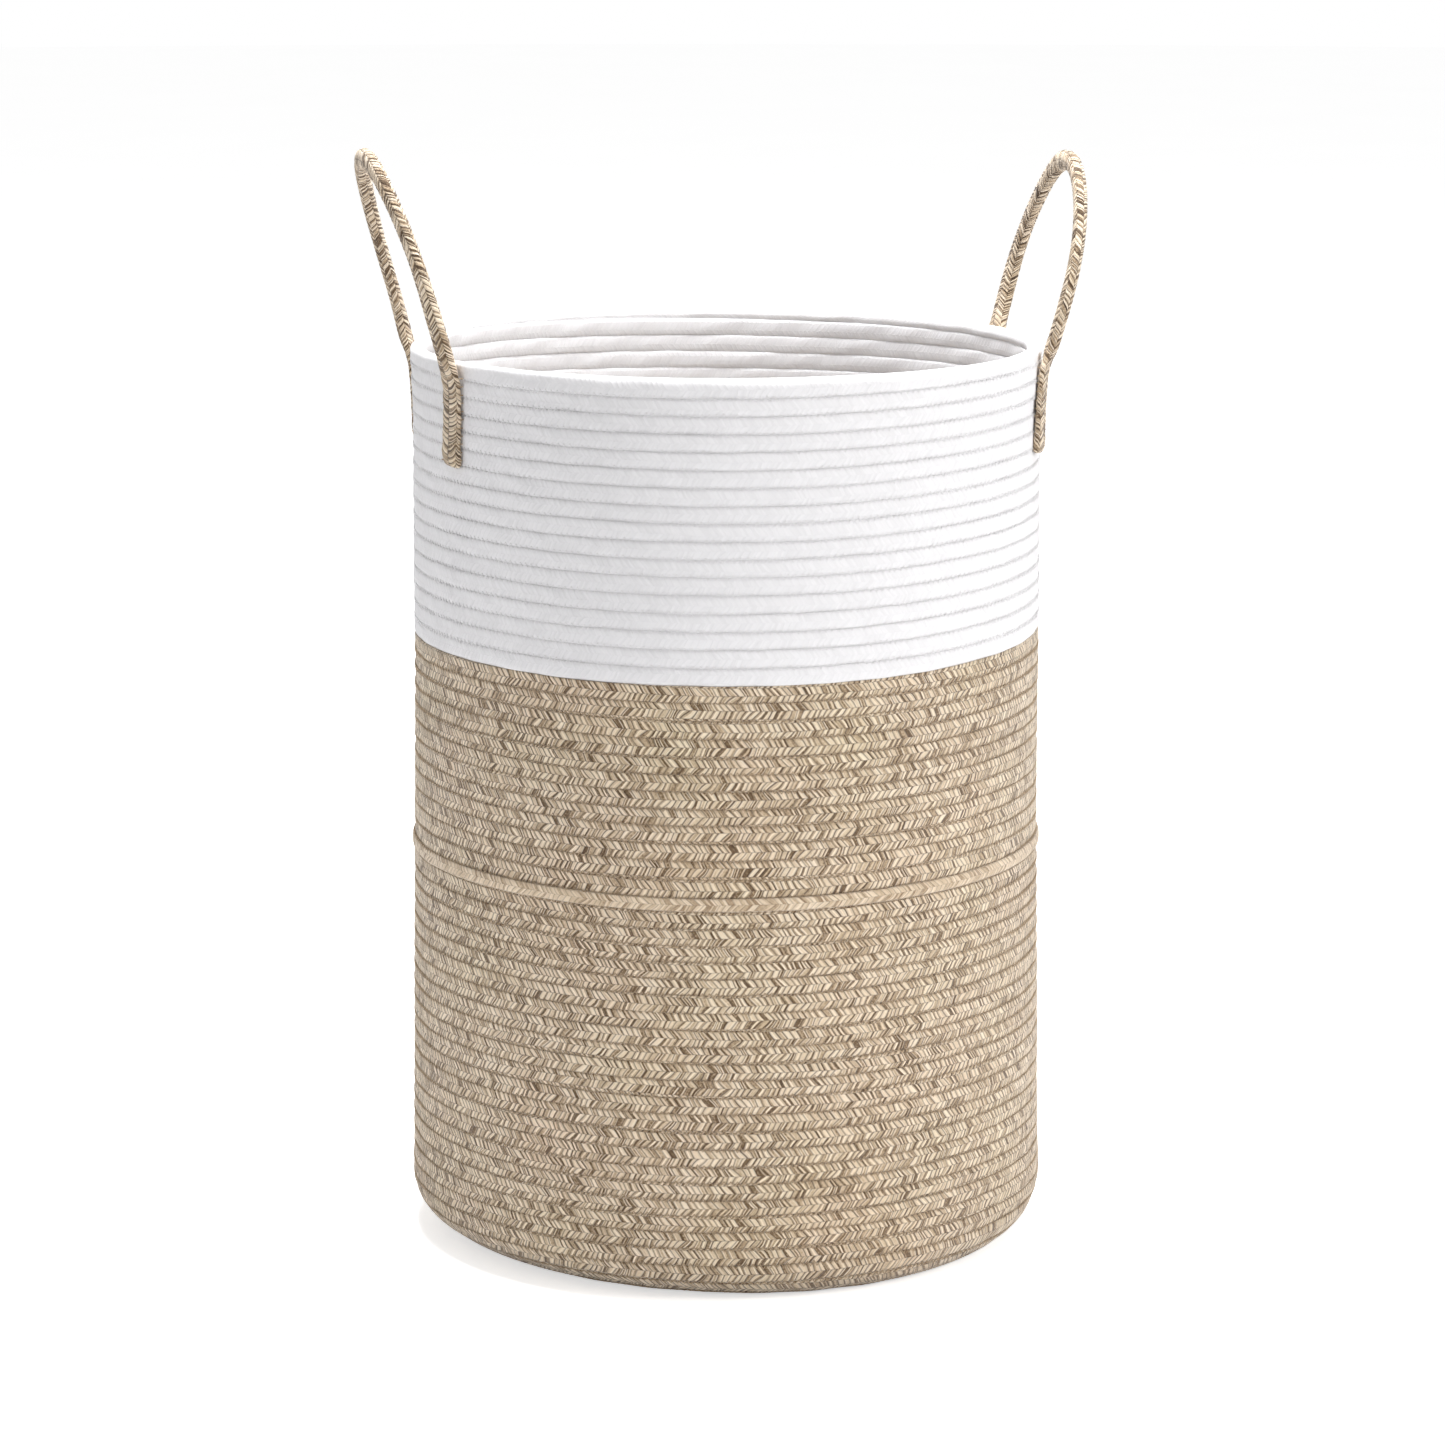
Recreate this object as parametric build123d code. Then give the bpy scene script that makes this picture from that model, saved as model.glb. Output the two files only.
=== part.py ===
from build123d import *
import math
import os

# Tall round laundry basket sewn from coiled cotton rope, with two standing rope loop handles.
# Millimetres, +Z up. Origin: centre of the flat underside.
# The wall is one spiral of rope sewn edge to edge: melange rope from the middle of the base up to
# the colour change, white rope from there to the rim. Each handle is a rope loop whose two ends
# run down the outside of the white wall and are sewn to it.

# ---- driving dimensions -------------------------------------------------------------------
height = 542.4            # underside to the top of the rim coil
radius_rim = 190.0        # outer radius at the rim
radius_foot = 191.0       # outer radius at the foot
wall = 9.0                # rope thickness, which is the wall's thickness
heel_radius = 27.0        # outer radius of the turn from base to wall
z_crease_low = 234.5      # lower groove of the narrow proud turn
crease_height = 7.8
crease_proud = 1.2
z_colour = 366.0          # melange below, white above
upper_turns = 17          # white turns, the rim turn among them
middle_turns = 12         # melange turns between the narrow turn and the colour change
lower_turns = 20          # melange turns between the heel and the narrow turn
base_turns = 16
rim_height = (height - z_colour) / upper_turns

rope_d = 9.0              # handle rope, as a round rope of the same section area
hinge_r = 184.5           # distance of the flexing line from the basket's axis
hinge_up = 5.5            # the flexing line lies this far above the rim
leg_half = 71.3           # half the distance between a handle's legs
tail_angle = 21.3         # each sewn end lies this far round from the middle of its handle
tail_len = 62.0
tail_w = 15.5
tail_t = 5.5
tail_top = height - 1.5
thread_r = 0.35
stitch_rows = 6

left = dict(name="left", azimuth=181.8, lean=17.05, rise=112.2)
right = dict(name="right", azimuth=-1.8, lean=14.0, rise=103.2)

os.makedirs("parts", exist_ok=True)


def r_out(z):
    """Outer radius of the wall at a height: very slightly narrower at the rim."""
    return radius_foot + (radius_rim - radius_foot) * z / height


def save(shape, name):
    shape.label = name
    export_step(shape, f"parts/{name}.step")


def ring(z0, z1, proud=0.0):
    """A plain length of wall between two heights."""
    with BuildPart() as p:
        with BuildSketch(Plane.XZ):
            with BuildLine():
                Polyline(
                    (r_out(z0) - wall, z0),
                    (r_out(z0) + proud, z0),
                    (r_out(z1) + proud, z1),
                    (r_out(z1) - wall, z1),
                    close=True,
                )
            make_face()
        revolve(axis=Axis.Z)
    return p.part


def group(shapes):
    return Compound(children=list(shapes))


# ---- base: flat spiral of rope, a closed disc up to the start of the heel -------------------
flat_r = r_out(heel_radius) - heel_radius
with BuildPart() as base:
    Cylinder(flat_r, wall, align=(Align.CENTER, Align.CENTER, Align.MIN))
save(base.part, "base_coil")

# ---- heel: the turns that carry the base round into the wall --------------------------------
with BuildPart() as heel:
    with BuildSketch(Plane.XZ):
        with BuildLine():
            c = (flat_r, heel_radius)
            a = math.radians(-45)
            ro, ri = heel_radius, heel_radius - wall
            Line((flat_r, wall), (flat_r, 0))
            ThreePointArc(
                (flat_r, 0),
                (c[0] + ro * math.cos(a), c[1] + ro * math.sin(a)),
                (flat_r + ro, heel_radius),
            )
            Line((flat_r + ro, heel_radius), (flat_r + ri, heel_radius))
            ThreePointArc(
                (flat_r + ri, heel_radius),
                (c[0] + ri * math.cos(a), c[1] + ri * math.sin(a)),
                (flat_r, wall),
            )
        make_face()
    revolve(axis=Axis.Z)
save(heel.part, "heel_coils")

# ---- wall -----------------------------------------------------------------------------------
z_crease_high = z_crease_low + crease_height
z_rim = height - rim_height
save(ring(heel_radius, z_crease_low), "lower_wall_coils")
save(ring(z_crease_low, z_crease_high, crease_proud), "crease_coil")
save(ring(z_crease_high, z_colour), "middle_wall_coils")
save(ring(z_colour, z_rim), "upper_wall_coils")

# last turn of the white rope: its top is as round as the rope is
with BuildPart() as rim:
    with BuildSketch(Plane.XZ):
        with BuildLine():
            rr, rw = radius_rim, wall / 2
            Polyline(
                (rr - wall, height - rw), (rr - wall, z_rim), (rr, z_rim), (rr, height - rw)
            )
            ThreePointArc((rr, height - rw), (rr - rw, height), (rr - wall, height - rw))
        make_face()
    revolve(axis=Axis.Z)
save(rim.part, "rim_coil")


# ---- sewing thread: one flat-sided ring to each groove between turns ------------------------
def thread_ring(r_inner, z):
    """A ring of thread of square section, twice thread_r across, centred on height z."""
    w = 2 * thread_r
    return Pos(0, 0, z - thread_r) * (
        Cylinder(r_inner + w, w, align=(Align.CENTER, Align.CENTER, Align.MIN))
        - Cylinder(r_inner, w, align=(Align.CENTER, Align.CENTER, Align.MIN))
    )


def groove_thread(z, clear=0.05):
    return thread_ring(r_out(z - thread_r) + clear, z)


pitch_up = rim_height
pitch_mid = (z_colour - z_crease_high) / middle_turns
pitch_low = 10.04
pitch_base = flat_r / base_turns

save(
    group(groove_thread(z_colour + pitch_up * k) for k in range(1, upper_turns)),
    "upper_wall_stitching",
)
save(
    group(
        [groove_thread(z_crease_high + pitch_mid * k) for k in range(1, middle_turns + 1)]
        + [groove_thread(z_crease_low - pitch_low * k) for k in range(1, lower_turns + 1)]
    ),
    "lower_wall_stitching",
)
# the base's thread shows on its upper face, inside the basket
save(
    group(
        thread_ring(pitch_base * k - thread_r, wall + thread_r + 0.03)
        for k in range(1, base_turns)
    ),
    "base_stitching",
)


# ---- handles --------------------------------------------------------------------------------
def handle_loop(h):
    """The free part of a handle rope: up one leg, over the crown and down the other.
    Both ends are round about the flexing line, so that the loop can turn there."""
    az, lean = math.radians(h["azimuth"]), math.radians(h["lean"])
    e_r = Vector(math.cos(az), math.sin(az), 0)
    e_t = Vector(-math.sin(az), math.cos(az), 0)
    up = e_r * math.sin(lean) + Vector(0, 0, 1) * math.cos(lean)
    origin = e_r * hinge_r + Vector(0, 0, height + hinge_up)
    k = h["rise"] / 112.2
    half = [(leg_half, 0.0), (leg_half - 1.8, 50.0 * k), (48.0, 97.5 * k), (14.0, 112.2 * k)]
    flat = [(-u, v) for u, v in half] + [(u, v) for u, v in reversed(half)]
    pts = [origin + e_t * u + up * v for u, v in flat]
    radii = []
    for i in range(1, len(pts) - 1):
        a, b = pts[i] - pts[i - 1], pts[i + 1] - pts[i]
        turn = math.radians(a.get_angle(b))
        radii.append(0.45 * min(a.length, b.length) / math.tan(turn / 2))
    with BuildPart() as p:
        with BuildLine() as path:
            FilletPolyline(*pts, radius=radii)
        with BuildSketch(Plane(origin=path.line @ 0, z_dir=path.line % 0)):
            Circle(rope_d / 2)
        sweep()
        with Locations(Location(pts[0]), Location(pts[-1])):
            Sphere(rope_d / 2)
    run = path.wires()[0].length
    print(
        h["name"], "rope centreline", round(run, 1),
        "radii", [round(r, 1) for r in radii],
        "volume", round(p.part.volume),
        "section x length", round(math.pi * rope_d**2 / 4 * run),
    )
    return p.part


def tail(h, side):
    """A sewn handle end: the rope pressed flat against the wall, top edge bevelled, lower corners round."""
    az = h["azimuth"] + side * tail_angle
    z_mid = tail_top - tail_len / 2
    face = r_out(z_mid) + 2 * thread_r + 0.45
    with BuildPart() as p:
        with Locations((face + tail_t / 2, 0, z_mid)):
            Box(tail_t, tail_w, tail_len)
        low = p.edges().filter_by(Axis.X).group_by(Axis.Z)[0]
        fillet(low, 5.0)
        top_edge = p.edges().filter_by(Axis.Y).group_by(Axis.Z)[-1].sort_by(Axis.X)[-1]
        chamfer(top_edge, 2.5)
    return Rot(0, 0, az) * p.part


def tail_stitches(h, side):
    """Cross stitches that hold a sewn end to the wall: short bars over the rope's face."""
    az = h["azimuth"] + side * tail_angle
    face = r_out(tail_top - tail_len / 2) + 2 * thread_r + 0.45 + tail_t
    out = []
    for k in range(stitch_rows):
        z = tail_top - 8.0 - k * (tail_len - 16.0) / (stitch_rows - 1)
        bar = Pos(face + thread_r + 0.05, 0, z) * Rot(90, 0, 0) * Cylinder(thread_r, tail_w - 4.0)
        out.append(Rot(0, 0, az) * bar)
    return out


for h in (left, right):
    n = h["name"]
    # the side nearer -Y is the front
    front, rear = (1, -1) if n == "left" else (-1, 1)
    save(handle_loop(h), f"handle_{n}_loop")
    save(tail(h, front), f"handle_{n}_tail_front")
    save(tail(h, rear), f"handle_{n}_tail_rear")
    save(
        group(tail_stitches(h, front) + tail_stitches(h, rear)), f"handle_{n}_stitching"
    )
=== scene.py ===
"""Looks for the coiled rope laundry basket: braided rope laid as one real spiral, sewing thread, two rope handles."""
import bpy
import math
import numpy as np
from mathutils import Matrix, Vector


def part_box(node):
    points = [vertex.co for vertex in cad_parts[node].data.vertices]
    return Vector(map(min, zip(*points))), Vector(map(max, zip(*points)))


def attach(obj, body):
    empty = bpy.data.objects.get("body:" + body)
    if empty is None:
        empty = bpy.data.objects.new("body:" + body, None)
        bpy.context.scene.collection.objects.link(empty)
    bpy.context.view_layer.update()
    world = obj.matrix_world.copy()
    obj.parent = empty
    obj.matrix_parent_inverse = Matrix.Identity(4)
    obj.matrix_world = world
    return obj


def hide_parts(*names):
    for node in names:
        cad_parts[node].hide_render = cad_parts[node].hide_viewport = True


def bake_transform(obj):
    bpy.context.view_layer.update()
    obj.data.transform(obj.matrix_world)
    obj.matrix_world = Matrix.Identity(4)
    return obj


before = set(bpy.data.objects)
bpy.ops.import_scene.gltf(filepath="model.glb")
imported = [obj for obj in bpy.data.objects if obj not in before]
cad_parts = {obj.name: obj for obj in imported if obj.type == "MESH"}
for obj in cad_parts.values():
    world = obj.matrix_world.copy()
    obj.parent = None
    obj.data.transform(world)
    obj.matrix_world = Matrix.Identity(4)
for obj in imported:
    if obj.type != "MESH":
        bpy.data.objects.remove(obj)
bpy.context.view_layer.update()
MM = 0.001
PI = math.pi


def box_mm(node):
    lo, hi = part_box(node)
    return np.array(lo) / MM, np.array(hi) / MM


# ---- sizes, from the frame (mm) --------------------------------------------------------------
HEIGHT = box_mm("rim_coil")[1][2]
WALL = box_mm("base_coil")[1][2]
HEEL_TOP = box_mm("heel_coils")[1][2]
Z_CREASE0, Z_CREASE1 = box_mm("crease_coil")[0][2], box_mm("crease_coil")[1][2]
Z_COLOUR = box_mm("upper_wall_coils")[0][2]
FLAT_R = box_mm("base_coil")[1][0]
FOOT_R = box_mm("heel_coils")[1][0]
RIM_R = box_mm("rim_coil")[1][0]

BASE_TURNS, HEEL_TURNS, LOW_TURNS, MID_TURNS, UP_TURNS = 16, 4, 20, 12, 17
T_HEEL = BASE_TURNS
T_LOW = T_HEEL + HEEL_TURNS
T_CREASE = T_LOW + LOW_TURNS
T_MID = T_CREASE + 1
T_UP = T_MID + MID_TURNS
T_RIM = T_UP + UP_TURNS - 1
T_END = T_UP + UP_TURNS

STRAND = 3.6        # one strand of the braid, along the rope
ROW = 4.9           # the strands lie in rows this wide, leaning one way and the other by turns
LEAN = 3.1         # how far a strand runs along the rope while it crosses its row
BACK = math.radians(90)   # the spiral's seam is at the back
FLAT_FRONT = 0.6    # the turns climb less at the front than at the back
LOW_PITCH = 10.04


# ---- the wall's middle surface, by arc length from the middle of the base ---------------------
def wall_radius_out(z):
    """Outer radius of the wall: fullest a little above the foot, drawn in below the rim."""
    return np.interp(
        z,
        [HEEL_TOP, 48, 62, 97, 150, 205, 250, 325, 445, 510, HEIGHT - 9, HEIGHT],
        list(FOOT_R + np.array([0.6, 1.3, 1.7, 1.2, 0.4, -0.6])) + list(RIM_R + np.array([-0.2, -0.8, -1.3, -1.1, -0.1, 0.0])),
    )


def middle_surface():
    half = WALL / 2
    r1 = np.linspace(-6, FLAT_R, 500)
    p1 = np.stack([r1, np.full_like(r1, half)], 1)
    a = np.linspace(-PI / 2, 0, 120)[1:]
    rad = HEEL_TOP - half
    p2 = np.stack([FLAT_R + rad * np.cos(a), HEEL_TOP + rad * np.sin(a)], 1)
    z = np.linspace(HEEL_TOP, HEIGHT + 12, 1100)[1:]
    p3 = np.stack([wall_radius_out(z) - half, z], 1)
    p = np.concatenate([p1, p2, p3])
    s = np.r_[0, np.cumsum(np.hypot(*np.diff(p, axis=0).T))] - 6.0
    t = np.gradient(p, s, axis=0)
    # soften the change of direction
    k = np.ones(9) / 9
    t = np.stack([np.convolve(np.pad(t[:, i], 4, "edge"), k, "valid") for i in (0, 1)], 1)
    t /= np.linalg.norm(t, axis=1)[:, None]
    n = np.stack([t[:, 1], -t[:, 0]], 1)
    return s, p, n


SURF_W, SURF_P, SURF_N = middle_surface()


def w_of_z(z):
    on_wall = SURF_P[:, 1] >= HEEL_TOP - 1e-6
    return np.interp(z, SURF_P[on_wall, 1], SURF_W[on_wall])


W_HEEL_END = w_of_z(HEEL_TOP + 1e-3)

# hand-guided sewing: how far each groove at the front is from even spacing
UNEVEN_LOW = [0, 0, -0.3, -0.8, -0.7, -0.9, -0.4, -0.2, 0.3, 0.5, 0.5, 0.4, 0.1, 0.3, 0.3, 0.8, 0.6, 0.2, -0.1, -0.2, 0]
UNEVEN_MID = [0, 0.6, 1.2, 1.0, 0.9, 0.5, 0.3, 0.1, -0.2, 0.2, 0.6, 0.6, 0]
UNEVEN_UP = [0, 0, 0.2, 0.1, 0.1, 0.4, 0.5, 0.2, 0.0, 0.1, -0.3, -0.3, -0.4, -0.5, -0.6, -0.5, -0.8, 0]
Z_LOW = Z_CREASE0 - LOW_PITCH * np.arange(LOW_TURNS, -1, -1) + np.array(UNEVEN_LOW)
Z_MID = np.linspace(Z_CREASE1, Z_COLOUR, MID_TURNS + 1) + np.array(UNEVEN_MID)
Z_UP = np.linspace(Z_COLOUR, HEIGHT, UP_TURNS + 1) + np.array(UNEVEN_UP)
GROOVE_W = np.concatenate(
    [
        np.linspace(0, FLAT_R, BASE_TURNS + 1)[:-1],
        np.linspace(FLAT_R, w_of_z(Z_LOW[0]), HEEL_TURNS + 1)[:-1],
        w_of_z(Z_LOW),
        w_of_z(Z_MID)[:-1],
        w_of_z(Z_UP),
    ]
)
W_TOP = GROOVE_W[-1]


def groove_w(x):
    """Arc length position of groove number x: it stops at the top of the rim."""
    i = np.arange(len(GROOVE_W))
    out = np.interp(x, i, GROOVE_W)
    return np.where(x < 0, x * GROOVE_W[1], out)


def turn_x(phi):
    """Number of the turn whose middle lies at angle phi, counted up the spiral; phi is measured from the back."""
    return phi / (2 * PI) + FLAT_FRONT * np.sin(phi) / (2 * PI) - 0.5


# slow irregularities of a hand-guided machine: fields over the wall, so that neighbours keep touching
_r = np.random.default_rng(11)
FIELD = [
    (int(k), _r.uniform(0, 2 * PI), _r.uniform(0.004, 0.03), _r.uniform(0, 2 * PI), _r.uniform(0.5, 1))
    for k in (2, 3, 4, 5, 7, 9, 12, 16, 21, 27)
]


def field(theta, w, which):
    out = 0.0
    for n, (k, p, fw, q, a) in enumerate(FIELD):
        out = out + a / (1 + 0.25 * n) * np.sin(k * theta + p * (1 + which) + (w * fw * (1 + 0.6 * which)) + q * which)
    return out / 3.0


def warp_w(theta, w):
    grow = np.clip(w / 150, 0, 1) * np.clip((W_TOP - w) / 25, 0, 1)
    # the soft wall lets the turns sag a little at the front and climb at the sides
    z = np.interp(w, SURF_W, SURF_P[:, 1])
    sag = np.interp(z, [40, 100, 164, 226, 265, 316, 378, 481, 532, HEIGHT], [0, 0.3, 0.7, 2.0, 2.0, 2.3, 2.3, 2.4, 1.6, 0])
    sag = sag * (w > W_HEEL_END) * (1 - np.cos(2 * (theta + math.radians(98)))) / 1.17
    return w + sag + 0.3 * grow * field(theta, w, 0)


def warp_r(theta, w):
    on_wall = np.clip((w - W_HEEL_END) / 60, 0, 1)
    top = 1 - 0.55 * np.clip((w - (W_TOP - 60)) / 60, 0, 1)
    low = np.clip((W_TOP - 200 - w) / 80, 0, 1)
    return on_wall * top * 0.55 * field(theta, w, 1) - 0.6 * on_wall * low * np.cos(theta + 0.2)


def warp_n(theta, w):
    """The foot isn't turned up evenly: it is rounder on the left and squarer in front and on the right."""
    a, b = FLAT_R - 10, W_HEEL_END + 34
    t = np.clip((w - a) / (b - a), 0, 1)
    low = np.sin(PI * np.clip(t / 0.6, 0, 1)) ** 2
    high = np.sin(PI * np.clip((t - 0.3) / 0.7, 0, 1)) ** 2

    def near(degrees, width):
        return np.exp(-(((np.mod(theta - math.radians(degrees) + PI, 2 * PI) - PI) / width) ** 2))

    return low * (1.5 * near(-70, 0.6) - 3.2 * near(205, 0.7)) + high * (1.0 * near(-14, 0.6) + 1.6 * near(190, 0.8) + 0.2)


def place(theta, w, n):
    """A point on the basket: angle round the axis, arc length up the wall, distance out from the middle surface."""
    w = warp_w(theta, w)
    r = np.interp(w, SURF_W, SURF_P[:, 0])
    z = np.interp(w, SURF_W, SURF_P[:, 1])
    nr = np.interp(w, SURF_W, SURF_N[:, 0])
    nz = np.interp(w, SURF_W, SURF_N[:, 1])
    n = n + warp_n(theta, w)
    rr = r + nr * n + warp_r(theta, w)
    zz = np.maximum(z + nz * n, -0.4)
    return np.stack([rr * np.cos(theta), rr * np.sin(theta), zz], -1)


# ---- mesh making ------------------------------------------------------------------------------
def make_object(name, co_mm, quads, attrs=None, smooth=True, corner=None):
    me = bpy.data.meshes.new(name)
    co = (np.asarray(co_mm, float) * MM).astype(np.float32)
    me.vertices.add(len(co))
    me.vertices.foreach_set("co", co.ravel())
    q = np.asarray(quads, np.int32)
    me.loops.add(q.size)
    me.loops.foreach_set("vertex_index", q.ravel())
    me.polygons.add(len(q))
    me.polygons.foreach_set("loop_start", np.arange(0, q.size, 4, dtype=np.int32))
    me.polygons.foreach_set("use_smooth", np.full(len(q), smooth))
    me.update(calc_edges=True)
    for key, values in (attrs or {}).items():
        a = me.attributes.new(key, "FLOAT", "POINT")
        a.data.foreach_set("value", np.asarray(values, np.float32).ravel())
    for key, values in (corner or {}).items():
        a = me.attributes.new(key, "FLOAT", "CORNER")
        a.data.foreach_set("value", np.asarray(values, np.float32).ravel())
    ob = bpy.data.objects.new(name, me)
    bpy.context.scene.collection.objects.link(ob)
    return ob


def tube_faces(n, m):
    """Quads of an n by m tube grid, closed the m way round."""
    i, j = np.meshgrid(np.arange(n - 1), np.arange(m), indexing="ij")
    j2 = (j + 1) % m
    return np.stack([i * m + j, i * m + j2, (i + 1) * m + j2, (i + 1) * m + j], -1).reshape(-1, 4)


def capped(co, attrs, n, m):
    """Adds end caps with their own corner points, so that the tube is closed but shades as one run."""
    pts, faces = [co.reshape(-1, 3)], [tube_faces(n, m)]
    att = {k: [np.asarray(v).reshape(-1)] for k, v in attrs.items()}
    base = n * m
    for end, flip in ((0, False), (n - 1, True)):
        ring = co.reshape(n, m, 3)[end]
        pts += [ring, ring.mean(0)[None]]
        for k in att:
            v = np.asarray(attrs[k]).reshape(n, m)[end]
            att[k] += [v, [v.mean()]]
        c = base + m
        j = np.arange(0, m, 2)
        f = np.stack([np.full(len(j), c), base + (j + 2) % m, base + j + 1, base + j], 1)
        faces.append(f[:, ::-1] if flip else f)
        base += m + 1
    return np.concatenate(pts), np.concatenate(faces), {k: np.concatenate(v) for k, v in att.items()}


def to_corners(values, faces, n, m, turn):
    """Values per face corner: the last column of a closed tube runs on to the first one's value plus a whole turn."""
    out = np.asarray(values)[faces].astype(float)
    body = out[: (n - 1) * m].reshape(n - 1, m, 4)
    body[:, m - 1, 1:3] += turn
    return out


# ---- the coiled rope --------------------------------------------------------------------------
ETA_OUT = np.array([-1.0, -0.94, -0.84, -0.7, -0.5, -0.26, 0.0, 0.26, 0.5, 0.7, 0.84, 0.94, 1.0])
ETA_IN = np.array([1.0, 0.88, 0.6, 0.0, -0.6, -0.88, -1.0])
RING_ETA = np.r_[ETA_OUT, ETA_IN]
RING_SIDE = np.r_[np.ones(len(ETA_OUT)), -np.ones(len(ETA_IN))]
M = len(RING_ETA)
N_HALF = WALL / 2


def groove_depth(eta, deep, start=0.45, power=2.3):
    """The rope's face falls away towards the grooves on both sides of it."""
    return deep * np.clip((np.abs(eta) - start) / (1 - start), 0, 1) ** power


def round_the_rope(deep):
    """Distance round the rope's section, in mm, from the middle of its outer face."""
    d = RING_SIDE * (N_HALF - groove_depth(RING_ETA, deep))
    p = np.stack([RING_ETA * 5.15, d], 1)
    p = np.concatenate([p, p[:1]])
    s = np.r_[0, np.cumsum(np.linalg.norm(np.diff(p, axis=0), axis=1))]
    return s[:-1] - s[len(ETA_OUT) // 2], s[-1]


def uneven(s, u):
    """Strands aren't all as long: where each one lies along the rope, in strands, u being -1..1 across it."""
    return (
        0.20 * np.sin(s / 7.3 + 0.9 * u + 1.1 * np.sin(s / 23.0))
        + 0.17 * np.sin(s / 4.3 + 2.1 * np.sin(s / 17.0) - 0.8 * u)
        + 0.12 * np.sin(s / 2.7 + 1.3 * np.sin(s / 11.0) + 1.1 * u)
    )


def strand_form(along, rows, slope):
    """Height, 0..1, of the braid's strands: rows of leaning strands, each round across and at its ends."""
    row = np.floor(rows)
    fv = rows - row
    tri = np.abs(np.mod(rows + 1.0, 2.0) - 1.0)
    phase = tri * slope + along + 0.5 * np.mod(row, 2.0)
    q = 2 * (phase - np.floor(phase)) - 1
    e = 2 * fv - 1
    return np.sqrt(np.maximum((1 - q**2) * (1 - 0.7 * e**8), 0.0))


def path_table():
    phi = np.arange(0.0, 2 * PI * (T_END + 0.3), 0.004)
    x = turn_x(phi)
    wc = (groove_w(x) + groove_w(x + 1)) / 2
    r = np.maximum(np.interp(wc, SURF_W, SURF_P[:, 0]), 3.2)
    s = np.r_[0, np.cumsum(np.diff(phi) * (r[1:] + r[:-1]) / 2)]
    return phi, s


PHI_T, S_T = path_table()


def s_of_turn(t):
    return np.interp(2 * PI * t, PHI_T, S_T)


def crease_here(w):
    z = np.interp(w, SURF_W, SURF_P[:, 1])
    mid = (Z_CREASE0 + Z_CREASE1) / 2
    return np.clip(1.25 - np.abs(z - mid) / 3.6, 0, 1) * (w > W_HEEL_END)


def rope_run(name, t0, t1, step, deep, start, relief, taper_start=False, taper_end=False):
    """A closed length of the sewn rope between two points of the spiral, as one object."""
    i0, i1 = math.floor(s_of_turn(t0) / step), math.floor(s_of_turn(t1) / step)
    i = np.arange(i0, i1 + 1)
    n = len(i)
    s = np.broadcast_to((i * step)[:, None], (n, M)).astype(float)
    eta = np.broadcast_to(RING_ETA, (n, M))
    side = np.broadcast_to(RING_SIDE, (n, M))
    phi = np.interp(s, S_T, PHI_T)
    x = turn_x(phi)
    lo, hi = groove_w(x), groove_w(x + 1)
    hi = np.minimum(hi, W_TOP)
    if taper_end:
        # the last centimetres get lower and lower, until the end is sewn away
        d_end = s[-1] - s
        hi = lo + (hi - lo) * np.clip(d_end / 90.0, 0.02, 1) ** 0.8
    lo = np.minimum(lo, hi - 0.15)
    mid, half = (lo + hi) / 2, (hi - lo) / 2
    full = np.clip(half / 4.6, 0.15, 1)
    # the top turn has nothing above it: its upper edge is round
    top = np.clip((hi - (W_TOP - 1.0)) / 1.0, 0, 1) * (eta > 0)
    fall = groove_depth(eta, deep, start)
    round_top = N_HALF * (1 - np.sqrt(np.maximum(1 - np.abs(eta) ** 2.2, 0.0)))
    fall = fall * (1 - top) + np.maximum(fall, round_top) * top
    dist = N_HALF - fall
    dist = dist + 0.16 * np.sin(s / 9.3 + 2 * eta) * np.sin(s / 31.0) + 0.12 * np.sin(s / 5.1 + 1.7 * eta)
    slow = 0.18 * np.sin(s / 63.0 + 0.4) + 0.14 * np.sin(s / 29.0) + 0.1 * np.sin(s / 151.0)
    w = mid + half * eta
    along = s / STRAND + uneven(s, eta)
    # the rope rolls slowly as it is fed to the needle, so its rows wander up and down its face
    roll = -0.2 + 0.6 * np.sin(s / 97.0 + 1.3) + 0.5 * np.sin(s / 61.0) + 0.3 * np.sin(s / 33.3 + 2) + 0.7 * np.sin(s / 410.0)
    way, girth = round_the_rope(deep)
    rows = (way - roll) / ROW
    dist = dist + relief * (strand_form(along, rows, LEAN / STRAND) - 0.65) * (side > 0) * (1 - np.abs(eta) ** 8)
    dist = np.maximum(dist, 0.03)
    dist = side * dist * (0.35 + 0.65 * full) + slow + 2.1 * crease_here(mid) * np.maximum(side, 0)
    if taper_start or taper_end:
        d_end = np.full((n, 1), 1e9)
        if taper_start:
            d_end = np.minimum(d_end, s[:, :1] - s[0, 0])
        if taper_end:
            d_end = np.minimum(d_end, s[-1, 0] - s[:, :1])
        q = np.clip(d_end / 6.0, 0, 1)
        shrink = np.sqrt(np.maximum(1 - (1 - q) ** 2, 0.0004))
        w = mid + (w - mid) * shrink
        dist = dist * shrink
    theta = BACK + phi
    co = place(theta, w, dist)
    attrs = {
        "along": along,
        "round": rows,
        "edge": np.abs(eta) * (1 - top),
    }
    pts, faces, att = capped(co.reshape(-1, 3), attrs, n, M)
    corner = {"round": to_corners(att.pop("round"), faces, n, M, girth / ROW)}
    return make_object(name, pts, faces, att, corner=corner)


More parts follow.
